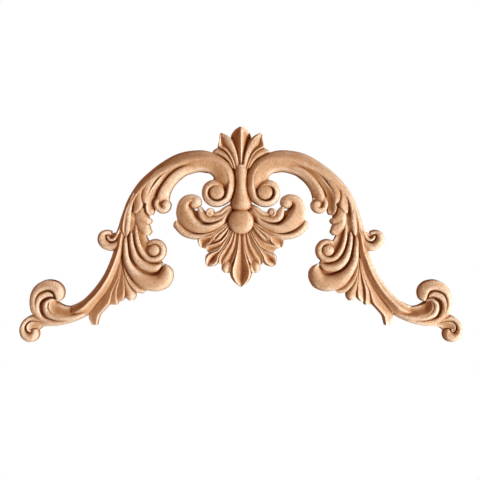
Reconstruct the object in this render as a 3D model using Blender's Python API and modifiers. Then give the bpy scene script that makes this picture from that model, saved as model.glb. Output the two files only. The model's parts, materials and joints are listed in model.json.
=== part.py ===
"""A carved corner applique of pale wood: two arched acanthus scrolls about a boss, bellflower, crest and fan.

Metres, +Z up, the carved face to -Y. The origin is on the flat back, behind the middle of the boss.
The carving is one solid. It is drawn as lobes on a sheet for the right half: each lobe is a loft through a
few ribs, and a rib joins the lobe's two edges at a crest height off the back. The lobes are joined where
they overlap, each with its mirror image across the axis.
"""

from math import cos, radians, sin

import bmesh
import bpy
from mathutils import Matrix, Vector

# Driving dimensions, in metres
WIDTH = 0.320  # tip to tip of the two small end curls
THICKNESS = 0.0155  # flat back to the top of the boss
EDGE_LEAST = 0.0035  # thinnest edge left standing at a leaf's rim
WALL_DRAFT = 0.0005  # how far a wall leans outwards on its way to the back

# The drawing sheet
SHEET_WIDTH = 320.0  # drawing units across the full width, so that one unit is a millimetre at full size
SHEET_RISE = 15.5  # drawing units from the back to the boss top
UNIT = WIDTH / SHEET_WIDTH
RISE = THICKNESS / SHEET_RISE

# Fineness of the solids
READINGS = 6  # ribs read off the smooth curve between two given ones
SLACK = 0.9  # drawing units: how far a lobe's edges and crest may run off the smooth curve
NARROW = 0.0065  # a lobe narrower than this has fewer facets across
LEAST_GAP = 0.01  # drawing units: two ribs count as at least this far apart
TURN_STEPS = 8  # spaces between the ribs of a spiral band
DOME_SIDES = 16
FLAT_ANGLE = 2  # degrees: facets that lie this nearly in one plane become one

NAME = "applique"
BOSS = (0, 0.2, 8.6, 15.5, 6)  # centre across and up, radius, top and drop, in drawing units

# A section lists how far the surface lies under the crest, as a share of the lobe's local width,
# at shares of the way across from edge A to edge B.
BEAD = ((0, 0.42), (0.18, 0.14), (0.5, 0), (0.82, 0.14), (1, 0.42))
LOW_BEAD = ((0, 0.25), (0.2, 0.07), (0.5, 0), (0.8, 0.07), (1, 0.25))
BEAD_A = ((0, 0.42), (0.12, 0.12), (0.34, 0), (0.75, 0.15), (1, 0.36))
BEAD_B = ((0, 0.36), (0.3, 0.13), (0.66, 0), (0.88, 0.12), (1, 0.42))
RIDGE = ((0, 0.38), (0.25, 0.22), (0.5, 0), (0.75, 0.22), (1, 0.38))
GOUGE = ((0, 0.34), (0.12, 0), (0.5, 0.22), (0.88, 0), (1, 0.34))
SHED = ((0, 0.3), (0.12, 0), (0.4, 0.18), (0.8, 0.36), (1, 0.42))
VEE = ((0, 0.25), (0.12, 0), (0.5, 0.26), (0.88, 0), (1, 0.25))
FLAT = ((0, 0), (1, 0))


def clear_scene():
    for obj in list(bpy.data.objects):
        bpy.data.objects.remove(obj, do_unlink=True)


def new_collection(name):
    made = bpy.data.collections.new(name)
    bpy.context.scene.collection.children.link(made)
    return made


def wood():
    """Bare pale wood, tan with a pink cast, sanded but not varnished."""
    made = bpy.data.materials.new("bare_beech")
    made.use_nodes = True
    shader = made.node_tree.nodes["Principled BSDF"]
    shader.inputs["Base Color"].default_value = (0.53, 0.30, 0.16, 1)
    shader.inputs["Roughness"].default_value = 0.62
    shader.inputs["Metallic"].default_value = 0.0
    return made


def turn(cx, cz, start, stop, inner, outer, rise, steps=TURN_STEPS):
    """Ribs of a spiral band between two angles: each pair holds a radius, or the crest height, at either end."""
    ribs = []
    for i in range(steps + 1):
        share = i / steps
        angle = radians(start + (stop - start) * share)
        near = inner[0] + (inner[1] - inner[0]) * share
        far = outer[0] + (outer[1] - outer[0]) * share
        height = rise[0] + (rise[1] - rise[0]) * share
        a = (cx + near * cos(angle), cz + near * sin(angle))
        b = (cx + far * cos(angle), cz + far * sin(angle))
        ribs.append((*a, *b, height))
    return ribs


def hermite(p, q, slope_p, slope_q, gap, share):
    """Point on the cubic from p to q, with the slopes given per unit of length along the gap."""
    s2 = share * share
    s3 = s2 * share
    value = p * (2 * s3 - 3 * s2 + 1) + q * (3 * s2 - 2 * s3)
    return value + slope_p * ((s3 - 2 * s2 + share) * gap) + slope_q * ((s3 - s2) * gap)


def middle(rib):
    return Vector((rib[0] + rib[2], rib[1] + rib[3])) / 2


def across(rib):
    return Vector((rib[2] - rib[0], rib[3] - rib[1]))


def smooth_ribs(ribs):
    """Many ribs along a smooth curve through the given ones."""
    rows = [Vector(rib) for rib in ribs]
    gaps = [max((middle(two) - middle(one)).length, LEAST_GAP) for one, two in zip(rows, rows[1:])]
    slopes = [(two - one) / gap for one, two, gap in zip(rows, rows[1:], gaps)]
    inner = [
        (before * after_gap + after * before_gap) / (before_gap + after_gap)
        for before, after, before_gap, after_gap in zip(slopes, slopes[1:], gaps, gaps[1:])
    ]
    slopes = [slopes[0], *inner, slopes[-1]]
    made = [rows[0]]
    for i, gap in enumerate(gaps):
        for j in range(1, READINGS + 1):
            made.append(hermite(rows[i], rows[i + 1], slopes[i], slopes[i + 1], gap, j / READINGS))
    return made


def end_points(rib):
    """A rib's two ends, with the crest height as the third number."""
    return Vector((rib[0], rib[1], rib[4])), Vector((rib[2], rib[3], rib[4]))


def distance(point, start, stop):
    """How far a point lies off the straight stretch between two others."""
    stretch = stop - start
    share = (point - start).dot(stretch) / max(stretch.length_squared, LEAST_GAP)
    return (point - start - stretch * min(max(share, 0), 1)).length


def stations(ribs):
    """The ribs for the rings: those that a straight loft between their neighbours would miss."""
    rows = smooth_ribs(ribs)
    ends = [end_points(row) for row in rows]
    kept = {0, len(rows) - 1}
    spans = [(0, len(rows) - 1)]
    while spans:
        low, high = spans.pop()
        misses = [
            max(distance(ends[i][side], ends[low][side], ends[high][side]) for side in (0, 1))
            for i in range(low + 1, high)
        ]
        if misses and max(misses) > SLACK:
            worst = low + 1 + misses.index(max(misses))
            kept.add(worst)
            spans += [(low, worst), (worst, high)]
    return [rows[i] for i in sorted(kept)]


def drop_at(section, place):
    """How far a section lies under its crest at a share of the way across."""
    for (u0, d0), (u1, d1) in zip(section, section[1:]):
        if place <= u1:
            return d0 + (d1 - d0) * (place - u0) / (u1 - u0)
    return section[-1][1]


def ring_points(rib, places, drops, steepness):
    """Corners of the lobe's section at one rib: the carved face, then the two foot corners on the back."""
    a = Vector((rib[0], rib[1])) * UNIT
    b = Vector((rib[2], rib[3])) * UNIT
    width = (b - a).length
    outwards = (b - a) / width * WALL_DRAFT
    points = []
    for u, drop in zip(places, drops):
        place = a + (b - a) * u
        height = max(rib[4] * RISE - drop * steepness * width, EDGE_LEAST)
        points.append((place.x, -height, place.y))
    points.append((b.x + outwards.x, 0, b.y + outwards.y))
    points.append((a.x - outwards.x, 0, a.y - outwards.y))
    return points


def solid_object(bm, name, collection):
    bmesh.ops.recalc_face_normals(bm, faces=bm.faces)
    mesh = bpy.data.meshes.new(name)
    bm.to_mesh(mesh)
    bm.free()
    made = bpy.data.objects.new(name, mesh)
    made.hide_render = True
    made.display_type = "WIRE"
    collection.objects.link(made)
    if min(vert.co.x for vert in mesh.vertices) > 0:
        mirror = made.modifiers.new("both halves", "MIRROR")
        mirror.use_axis = (True, False, False)
    return made


def lobe(name, section, *ribs, k=1.0, end=None):
    """One lobe of the carving, lofted through its ribs; k scales how steeply the section falls from the crest."""
    rows = stations(ribs)
    widest = max(across(row).length for row in rows) * UNIT
    places = [u for u, _ in section]
    if widest < NARROW:
        places = [0, 0.5, 1]
    bm = bmesh.new()
    rings = []
    for i, row in enumerate(rows):
        share = i / (len(rows) - 1)
        drops = [drop_at(section, u) * (1 - share) + drop_at(end or section, u) * share for u in places]
        rings.append([bm.verts.new(point) for point in ring_points(row, places, drops, k)])
    for one, two in zip(rings, rings[1:]):
        for i in range(len(one)):
            bm.faces.new((one[i - 1], one[i], two[i], two[i - 1]))
    bm.faces.new(rings[0])
    bm.faces.new(rings[-1][::-1])
    return solid_object(bm, name, bpy.data.collections["lobes"])


def dome(name, cx, cz, radius, top, drop):
    """A round button: half a ball flattened to `drop` high, standing on a straight round wall."""
    bm = bmesh.new()
    bmesh.ops.create_uvsphere(bm, u_segments=DOME_SIDES, v_segments=DOME_SIDES // 2, radius=1)
    everything = bm.verts[:] + bm.edges[:] + bm.faces[:]
    bmesh.ops.bisect_plane(bm, geom=everything, plane_co=(0, 0, 0), plane_no=(0, 0, 1), clear_inner=True)
    bmesh.ops.scale(bm, verts=bm.verts, vec=(radius * UNIT, radius * UNIT, drop * RISE))
    rim = [edge for edge in bm.edges if edge.is_boundary]
    wall = bmesh.ops.extrude_edge_only(bm, edges=rim)["geom"]
    foot = [item for item in wall if isinstance(item, bmesh.types.BMVert)]
    bmesh.ops.translate(bm, verts=foot, vec=(0, 0, -(top - drop) * RISE))
    bmesh.ops.holes_fill(bm, edges=[edge for edge in bm.edges if edge.is_boundary])
    bmesh.ops.rotate(bm, verts=bm.verts, cent=(0, 0, 0), matrix=Matrix.Rotation(radians(90), 3, "X"))
    bmesh.ops.translate(bm, verts=bm.verts, vec=(cx * UNIT, -(top - drop) * RISE, cz * UNIT))
    return solid_object(bm, name, bpy.data.collections["lobes"])


def centre():
    """The bellflower above the boss, the crest's middle leaf and the spoon-shaped drop, each across the axis."""
    lobe("bell", BEAD,
        (-4.7, 8, 4.7, 8, 12.5), (-7.8, 10.2, 7.8, 10.2, 14), (-7.8, 12, 7.8, 12, 14.6),
        (-6.9, 15.5, 6.9, 15.5, 14.6), (-5.2, 19, 5.2, 19, 14.2), (-4.1, 23, 4.1, 23, 13.8),
        (-3.8, 29, 3.8, 29, 13.6), (-4.4, 36, 4.4, 36, 13.4), (-4.8, 41, 4.8, 41, 12.6))
    lobe("crest centre", RIDGE,
        (-1.6, 38, 1.6, 38, 10.5), (-1.9, 47, 1.9, 47, 11.5), (-2.6, 52, 2.6, 52, 11.5),
        (-4.4, 57, 4.4, 57, 11), (-6.3, 61, 6.3, 61, 10.5), (-4.8, 64, 4.8, 64, 9.5),
        (-2.8, 66.3, 2.8, 66.3, 8.5), (-0.3, 68, 0.3, 68, 7.5))
    lobe("drop", GOUGE,
        (-1.6, -5, 1.6, -5, 10), (-2, -13, 2, -13, 11), (-3.3, -21, 3.3, -21, 11),
        (-6, -30, 6, -30, 10.5), (-7.4, -35, 7.4, -35, 9.5), (-6.5, -39.5, 6.5, -39.5, 8.5),
        (-3.8, -43.5, 3.8, -43.5, 7.5), (-0.3, -46.5, 0.3, -46.5, 6.5))


def crest():
    """Two leaves that lean out from behind the bellflower."""
    lobe("crest second", GOUGE,
        (1.2, 38, 4.6, 38, 11.5), (1.7, 46, 7, 46, 12.5), (3.2, 53, 10, 50.5, 12),
        (5.5, 59, 13.5, 52.8, 11), (8.5, 62.1, 15, 55, 9.5), (11, 63.2, 14.3, 60, 8),
        (13.3, 63.5, 13.9, 62.9, 7))
    lobe("crest third", BEAD_B,
        (4.2, 38, 6.6, 39, 11), (6.6, 45, 10.5, 44.6, 11.5), (10, 50, 14, 47, 11),
        (14, 52.5, 17.5, 48.6, 9.5), (17.5, 52.5, 19.5, 49.5, 7.5), (19, 51.4, 19.7, 50.2, 6.5))


def main_scroll():
    """The arm that rolls out of the volute, over the arch and down to the side curl, and the web inside it."""
    lobe("arm", BEAD_A,
        *turn(17.4, 21, 100, -150, (4.8, 6.2), (8.4, 11), (11, 12.5), 9), (10.6, 21, 5.2, 21, 12.5),
        (9.6, 27, 4.5, 27, 12.8), (10.2, 34, 5.4, 35, 13), (13.5, 39, 9, 41.8, 13),
        (19, 42, 15.8, 47, 13), (27, 42.5, 26, 50.4, 13), (34, 41.5, 36, 50, 13),
        (42, 39, 45, 47.8, 13), (50, 36, 54.6, 42.9, 13), (58, 31.5, 64.2, 35.8, 13),
        (66, 26, 72.6, 27, 13), (71, 21, 77, 20.5, 13), (75.5, 15.5, 80.1, 14.5, 12.5),
        (77.7, 9, 83.1, 7.7, 12), (79.5, 0, 86.2, -0.4, 12), (82.5, -6, 88.3, -5.8, 11.5),
        (84, -11, 88, -13, 10.5), k=0.85)
    lobe("volute disc", LOW_BEAD,
        (11.8, 20, 12, 22.5, 12), (13, 17.2, 13.5, 26, 13), (17, 15.9, 18, 26.8, 13.2),
        (20.5, 16.6, 21, 25.4, 12.6), (22.2, 19, 22.4, 23, 11.4))
    lobe("volute floor", FLAT,
        (7, 18, 7, 31, 5), (13, 13.5, 13, 34, 5), (20, 13.5, 20, 29, 5), (24, 17, 24, 26, 5))
    lobe("arch inner", BEAD_A,
        (9, 27, 16.5, 29.5, 7), (10, 32, 17.6, 31, 8), (12.5, 37, 19.6, 33.3, 9.5),
        (19, 41.5, 23.8, 35.5, 10.5), (28, 43, 29.6, 36.1, 11.5), (36, 42.2, 35.3, 35.2, 12.2),
        (44, 39.5, 40.6, 33.2, 12.5), (50.5, 35.5, 45.8, 28.6, 12.8), (56, 29, 49.3, 23.8, 12.8),
        (60, 21.5, 51, 18.6, 12.5), (61.5, 16.5, 51.2, 15, 12), (61.5, 13, 53, 13, 10), k=0.8)
    lobe("crest floor", FLAT,
        (2, 30, 9, 30, 5), (2, 36, 13, 36, 5), (2, 40, 18, 40.5, 5), (3, 44, 17, 45, 5),
        (6, 47, 15, 47, 5))


def wing():
    """The broad C-shaped leaf beside the boss, with its rolled head, inner lobe, bud and lower rim."""
    lobe("wing", BEAD_A,
        (5, 8, 5, 2, 10), (8, 9.7, 9, 2, 11), (13.7, 2.9, 13, -3, 12), (20, -0.6, 20, -6.8, 12.5),
        (27, 0, 28, -8.2, 13), (31.5, 5, 37.5, -6, 13), (34, 9, 44.1, 1.5, 13),
        (36, 11.5, 44.9, 11, 13), (36.3, 13, 41.3, 17.6, 12.5), (35, 13.5, 34.5, 19.3, 12),
        (33.5, 12.5, 28.9, 15, 11), (33, 11, 29.7, 10.7, 10), k=0.8)
    dome("wing head", 32.8, 14.4, 4.6, 12.5, 4)
    lobe("wing inner", LOW_BEAD,
        (5, 8, 5, 5, 10), (8.5, 10, 7.8, 8.8, 11), (12.5, 6, 12.2, 4, 11.5), (17, 4.8, 17, 0.8, 12),
        (21.5, 4.5, 22, -0.8, 12), (24.8, 6.3, 26.5, 0, 12), (26.5, 7.7, 29.5, 2.5, 11.5),
        (28.5, 9.7, 31.5, 6.5, 10), (30, 10, 32.2, 8.5, 9))
    lobe("wing upper", BEAD,
        (6, 10, 5.5, 8.5, 9.5), (9.5, 10.6, 8.6, 9.8, 10.5), (13.8, 8.7, 12.8, 6.2, 11),
        (18.5, 7.1, 17.5, 4.6, 11), (21, 6.6, 21.3, 4.2, 11))
    dome("wing bud", 21.8, 7.0, 2.7, 12, 3)
    lobe("wing lower", BEAD,
        (6, 0, 6, -2, 9.5), (9, 0, 9, -1.5, 10.5), (15, -4.2, 14.5, -5.4, 11),
        (21, -6.7, 20.5, -8.8, 11), (27, -8.1, 27.5, -10.7, 11), (33, -7.8, 34, -11, 11),
        (38.5, -5.2, 40.8, -9, 10.5), (41.8, -2, 45.2, -4.8, 10), (43.3, 0, 47.3, -1.6, 9),
        (44.5, 0.7, 46.3, 0.2, 8))


def fan():
    """Leaves and thin ribs that spread down from under the boss."""
    lobe("boss floor", FLAT,
        (-11, -8, -11, 6.8, 5), (-6, -9, -6, 10.4, 5), (6, -9, 6, 10.4, 5), (11, -8, 11, 6.8, 5))
    lobe("fan floor", FLAT,
        (2.5, -5, 9, 0, 5), (2.5, -14, 15, -4, 5), (3.5, -24, 20, -10, 5), (9, -27.5, 22, -15, 4.5))
    lobe("fan 5", BEAD_B,
        (6, 1, 6, -2, 9), (9.3, -1, 9, -2.5, 10), (14, -4.5, 13, -6.5, 10.5),
        (20, -8, 18, -11, 10.5), (26, -10.3, 20.5, -13.8, 10), (29.7, -11.3, 23.5, -15.3, 9),
        (30, -14.5, 25.2, -17, 8), (28.7, -17.6, 27, -18.5, 7), k=0.6)
    lobe("rib 1", BEAD,
        (6.5, -1, 6, -2, 9.5), (9.6, -2.2, 9.0, -3.4, 10.5), (13.6, -6.2, 12.9, -7.3, 11),
        (18.3, -10.5, 17.6, -11.5, 10.5))
    lobe("rib 2", BEAD,
        (6.5, -2, 6, -3, 9.5), (9.2, -3.8, 8.6, -5.0, 10.5), (13.2, -8.2, 12.4, -9.4, 11),
        (18, -12.2, 17.4, -13.3, 10.5))
    lobe("fan 4", GOUGE,
        (6, -3, 5.5, -4.5, 9.5), (9, -5, 8.3, -7.4, 10.5), (13, -9.7, 11.5, -12, 11),
        (17.5, -13.2, 15, -16, 10.5), (21.5, -15.2, 17.7, -18.8, 9.5),
        (24.7, -16.8, 20.5, -20.6, 8.5), (24.8, -19, 22.4, -21, 7.5))
    lobe("fan 3", VEE,
        (5.5, -4.5, 5, -5.5, 9.5), (8.6, -7.6, 7.6, -9.5, 10.5), (12, -12.5, 10.2, -14.5, 11),
        (16.5, -17.8, 13, -20, 10.5), (20.5, -20.6, 15, -24, 10), (23.3, -21.9, 16.3, -27.1, 9.5),
        (24.5, -25.5, 17.6, -29.5, 8.5), (24.6, -28.8, 21, -30.7, 7.5),
        (24.3, -30.1, 23.5, -30.6, 6.5))
    lobe("fan 2", GOUGE,
        (5, -5.5, 4, -6, 9.5), (7, -9, 5.3, -9.5, 10.5), (9.5, -15.5, 6.5, -16.5, 11),
        (12.5, -20.5, 8.5, -22, 11), (15.2, -25, 10.3, -26.5, 10), (15.5, -28.2, 11.5, -28.9, 8.5),
        (14.7, -30.1, 13, -30.3, 7))
    lobe("fan 1", GOUGE,
        (4, -5, 2, -5, 9), (4.7, -8.5, 2.2, -8, 10), (5.6, -16, 2.3, -15.5, 10.5),
        (8, -22.5, 3, -22, 10.5), (11.3, -28, 4.8, -28.5, 10), (12.4, -31, 6.4, -32.3, 9),
        (12.1, -33.6, 7.2, -34.4, 8), (10.9, -35.5, 9, -35.9, 7), k=1.2)


def arch_leaves():
    """Leaves wrapped round the foot of the arch, with their curls, and the drop leaves under them."""
    lobe("curl floor", FLAT,
        (52.5, 10, 52.5, 17, 5), (57, 8.6, 57, 18, 5), (62.5, 10.5, 62.5, 18, 5))
    lobe("curl a", BEAD,
        *turn(57.2, 14, 160, 330, (3.0, 2.4), (6.3, 5.2), (11.5, 9.5)), k=0.85)
    dome("curl a ball", 57.9, 14.6, 3.0, 13, 2.5)
    lobe("leaf b", GOUGE,
        (42, 39.5, 44, 41, 12), (46, 38, 49, 40.5, 12.3), (52, 33.8, 55, 36, 12.5),
        (57.5, 27, 60.5, 29, 12.5), (61, 20, 64.5, 21.5, 12), (62.3, 14, 67, 15, 11.5),
        (62.5, 9, 67.8, 9.5, 10.5), (63.1, 6, 67, 6.5, 9), (64, 5, 65.8, 5.1, 8))
    lobe("leaf c", LOW_BEAD,
        (46, 40, 50, 42, 12), (51, 38.5, 57, 40, 12.4), (57, 33.5, 64, 35, 12.5),
        (62, 27, 69, 27, 12.5), (65, 20, 71.3, 20.5, 12), (66.8, 15, 70.5, 15.5, 11.5),
        (68, 10, 70.4, 11, 11), (67.5, 5.5, 70, 7, 9.5), (67.2, 3.6, 68.8, 3.4, 8.5))
    lobe("leaf d", BEAD_A,
        (66, 30, 69, 31, 11.5), (68, 25.5, 71.5, 26.5, 12.5), (70.5, 21.5, 74.5, 21, 13),
        (71.3, 18, 76, 17, 13), (70.3, 14, 76.6, 13, 12.5), (70.6, 11, 77, 10, 12),
        (73, 8, 77.3, 7, 11.5), (75.2, 5.5, 77.6, 4, 11), (76, 2, 77.6, 1, 10), k=0.65)
    lobe("leaf e", VEE,
        (77.3, 14, 79, 14.5, 12), (78, 4, 84, 4, 12.2), (78.5, -1, 84.8, -1, 12),
        (79.3, -5, 84.4, -5, 11.5), (81, -9.2, 82.8, -9.2, 11), k=1.1)
    lobe("leaf g1", LOW_BEAD,
        (69, 8, 74.5, 9, 10.5), (69, 6, 75.3, 7, 11), (66, 3, 75.6, 3, 11),
        (64.2, 1.2, 75.2, -0.5, 10.5), (65, -0.8, 73, -1.8, 10), (66.5, -2, 71, -2, 9.5), k=0.8)
    lobe("leaf g2", LOW_BEAD,
        (69, -0.5, 75, 1, 10.8), (65.8, -2.4, 74.8, -2, 11), (64.6, -5, 74.5, -4.8, 10.5),
        (64.8, -7.4, 73.3, -7, 10), (67, -8.9, 71, -8.4, 9), k=0.8)
    lobe("band", BEAD,
        (75, 5, 76.5, 5, 9.5), (73.8, -3, 76.2, -3, 10.5), (73, -10, 76.3, -10, 11),
        (71.8, -16, 75.8, -17, 11.5), (69, -22, 73.5, -24, 11.5), (65.5, -25, 68, -28.5, 11.5),
        *turn(62.5, -20.3, -80, -320, (4.4, 3.6), (8.8, 7.2), (11.5, 9), 9)[1:], k=0.85)
    dome("volute 2 eye", 62.5, -20.3, 4, 12.3, 2.5)
    lobe("hollow 2", LOW_BEAD,
        (68, -6, 74, -6, 8.5), (68.2, -11, 73.5, -11, 7.5), (66.5, -14, 72.5, -15, 7),
        (64, -17, 71, -19, 6.5), (60, -21, 69, -23, 6), k=0.3)
    lobe("cluster floor", FLAT,
        (64, 17, 80, 17, 6), (67, 8, 83, 8, 6), (67, 0, 85, 0, 6), (68.3, -11, 88, -11, 6),
        (63, -18, 87, -18, 6), (58, -27, 86, -27, 5.5), (57.5, -31, 86, -31, 5),
        (57, -36, 86, -36, 5))
    lobe("lobe h", GOUGE,
        (76, 6, 77.8, 5, 10.5), (76.8, -3, 79.5, -5, 11.5), (76.6, -10, 80.9, -12, 12),
        (75.6, -19, 80.3, -21.5, 12.5), (71.8, -25.3, 77.5, -30, 12.5),
        (66, -28.6, 71.5, -35.3, 12), (61, -29.5, 64.5, -37, 11), (57.8, -29.8, 59.2, -35.6, 9.5),
        (57, -30.7, 57.2, -32, 8), k=0.75)
    lobe("big curl", BEAD,
        (81, -7, 83, -7, 11), (80.8, -18, 84, -18, 12.5), (78.8, -28.5, 83.3, -29, 13),
        (73, -35, 79.6, -39, 13.5), (64.5, -37.2, 72, -47, 13.5), (58.8, -35.5, 60, -49, 13),
        (56.5, -31.8, 50.9, -45.2, 12.5), (55.5, -31.2, 48.8, -38.3, 11.5),
        (54.5, -31, 50.8, -32.9, 10), k=0.8)
    lobe("lobe j", BEAD_B,
        (83.3, -25, 84.6, -25, 10.5), (82, -34, 84.4, -35, 11), (79, -40, 82.4, -42, 11),
        (74, -45, 78.5, -47.6, 10.5), (69.5, -47.5, 75, -50.1, 9.5), (67.3, -48.5, 70.5, -50.8, 8))
    lobe("lobe k", BEAD,
        (83.6, -32, 84.8, -32, 10), (82.3, -42, 84.2, -43, 10.5), (79, -48, 83.6, -48, 10),
        (76.5, -51.5, 83.2, -52, 9), (77.1, -54.2, 82.3, -54.3, 8), (78.4, -55.6, 80, -55.7, 7),
        k=0.7)
    lobe("lobe l", GOUGE,
        (84, -26, 85.6, -26, 10), (84, -42, 87.3, -42, 10.5), (83.6, -48, 89, -48.5, 10),
        (84.2, -53, 90, -54, 9), (85.7, -55.7, 90, -56.6, 8), (87, -56.6, 89.5, -57.2, 7))
    lobe("lobe m", SHED,
        (84.8, -26, 86.5, -26, 10.5), (87, -42, 89.5, -42, 10.8), (88.8, -49, 93, -49.5, 10.3),
        (89.5, -55, 95, -56, 9), (89.8, -58.5, 94.8, -58.3, 7.5), k=0.7)
    lobe("lobe n", SHED,
        (85.6, -20, 87, -20, 10.5), (88.2, -40, 91.5, -40, 10.8), (92.5, -50, 97.3, -50, 10.5),
        (95, -58.3, 103, -57.5, 10), (99.7, -63.6, 107.5, -62.5, 9.5),
        (102.7, -67.2, 109.2, -66, 9), (104, -71, 108.9, -69.5, 8), (104.7, -73.3, 107.5, -72.7, 7),
        k=0.7)


def stem():
    """The ridged stem that leaves the cluster, and the hook-shaped curl beside its root."""
    lobe("stem", RIDGE,
        (84.8, -9, 87.5, -6, 11.5), (85.3, -20, 90.7, -20, 13), (87.3, -28, 93.7, -28.5, 13),
        (91, -38.5, 99.2, -38.5, 13), (97, -49.5, 106.6, -47.8, 13), (104.5, -58, 115.2, -55, 12.5),
        (112, -66.5, 123, -59.5, 12), (120, -70.3, 131.5, -58.8, 11), (131, -69, 134.5, -59, 7),
        end=GOUGE, k=0.95)
    lobe("side curl", BEAD,
        (84, -8, 86, -14, 11), (89, -13.2, 90, -18, 11.5), (92.5, -14.4, 94.5, -18.9, 12),
        (95.3, -13.2, 99.7, -17.6, 12), (96.5, -11, 102.4, -12.3, 11.5),
        (96.4, -9, 100.5, -7.5, 11), (95.8, -8, 97, -6, 10), (94.8, -8.3, 94.3, -7.2, 9), k=0.8)
    lobe("side curl lip", BEAD,
        (85, -5.5, 85, -8, 10.5), (88.5, -10.6, 88.3, -12.8, 10.5), (92, -11.6, 92, -14, 10.5),
        (94.5, -10.3, 96, -11.8, 10), (95, -8.3, 96.2, -9, 9.5))
    lobe("side curl hollow", LOW_BEAD,
        (85.5, -2, 85.5, -9, 8.5), (89.3, -7.2, 89, -11.3, 7), (92.5, -8.2, 92.5, -13, 6),
        (96.4, -7.2, 96.6, -11.5, 6), k=0.3)


def end_scroll():
    """The bands that roll up at the stem's end, and the small curl that turns down past them."""
    lobe("end floor", FLAT,
        (126, -60.5, 126, -72, 6), (132.5, -54.5, 134, -72, 6), (135.5, -49.5, 143, -70, 6),
        (141, -50, 147, -66, 6))
    lobe("end curl floor", FLAT,
        (143, -75, 147, -69.5, 5), (148.5, -78.5, 152.5, -71, 5), (150.5, -82, 156.5, -76, 5))
    lobe("end outer", BEAD,
        (113, -66, 113, -68, 9), (120, -69.5, 119.5, -71, 9.5), (128, -71, 128, -74, 10),
        (138, -70, 139, -74.9, 10.5), (144, -66, 148.1, -67.6, 11), (147, -60, 151.3, -60, 12),
        (146.8, -55, 150.2, -52, 12.5), (143.5, -50.7, 145.7, -46, 12.5),
        (140, -49, 140, -42.8, 12.5), (136.5, -49.8, 133.2, -43.1, 12),
        (134.5, -52, 128.5, -46.2, 11.5), (134, -54.5, 127.6, -51, 10.5),
        (133.3, -56.3, 129.3, -55.3, 9.5), k=0.8)
    lobe("end middle", BEAD,
        (128, -69.5, 128, -71.5, 9), (133, -70.6, 133, -72.5, 9.5), (139, -68.8, 141, -70.5, 10),
        (142.3, -64.5, 146.3, -64.5, 11), (142.8, -60, 147, -59, 11.5),
        (141, -57.3, 145.8, -53.8, 12), (138.5, -55.2, 142.5, -50, 12),
        (136, -54.3, 138, -49.8, 11.5), (134.5, -54.3, 134.8, -52, 10.5), k=0.8)
    lobe("stem hook", BEAD,
        (118, -67, 117, -69.5, 10.5), (127, -67, 127, -71, 11.5), (133, -66, 134, -70.3, 12),
        (136.5, -63, 140.5, -67, 12.5), (137.5, -60, 142.6, -61, 12.5),
        (137, -58, 140.5, -56.8, 12), (135, -57.3, 136.5, -54.6, 11.5),
        (132.5, -58, 133, -55.5, 10.5), k=0.8)
    lobe("end curl", BEAD,
        (138, -73, 139, -71.5, 9), (146, -71.3, 147.5, -68.7, 10),
        (150.3, -71.3, 152.8, -69.1, 10.5), (152.8, -74, 157.2, -73.5, 11),
        (153.6, -77, 159.4, -79.3, 11), (152.7, -79.5, 157.2, -84.3, 11),
        (151.5, -80, 151.5, -86, 10.5), (150, -79.3, 147, -83.2, 10), (150.3, -77.5, 146, -79, 9),
        k=0.8)
    lobe("end curl inner", BEAD,
        (134, -74.5, 134, -72, 8.5), (139, -75, 140, -72, 9), (145, -76, 146.5, -71.5, 10),
        (148.5, -77.8, 150.8, -71.5, 10.5), (149.5, -79.3, 152.6, -75, 10.5),
        (150.5, -79.6, 152, -78, 10), k=0.8)


def carve():
    """Joins the lobes of both halves to the boss and merges the facets that the joining made too small."""
    boss = dome("boss", *BOSS)
    boss.name = NAME
    boss.hide_render = False
    boss.display_type = "TEXTURED"
    bpy.data.collections["lobes"].objects.unlink(boss)
    bpy.data.collections["corner_applique"].objects.link(boss)
    boss.data.materials.append(wood())
    join = boss.modifiers.new("join the lobes", "BOOLEAN")
    join.operation = "UNION"
    join.solver = "EXACT"
    join.operand_type = "COLLECTION"
    join.collection = bpy.data.collections["lobes"]
    flat = boss.modifiers.new("merge the flat back", "DECIMATE")
    flat.decimate_type = "DISSOLVE"
    flat.angle_limit = radians(FLAT_ANGLE)


clear_scene()
for title in ("corner_applique", "lobes"):
    new_collection(title)
centre()
crest()
main_scroll()
wing()
fan()
arch_leaves()
stem()
end_scroll()
carve()
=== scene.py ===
"""The looks of a carved corner applique of bare beech: two arched scrolls about a boss, bell, crest and fan.
Metres, +Z up, the carved face to -Y, the origin on the flat back behind the boss."""

import json
from math import cos, pi, radians, sin

import bmesh
import bpy
import numpy as np
from mathutils import Matrix, Vector

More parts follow.
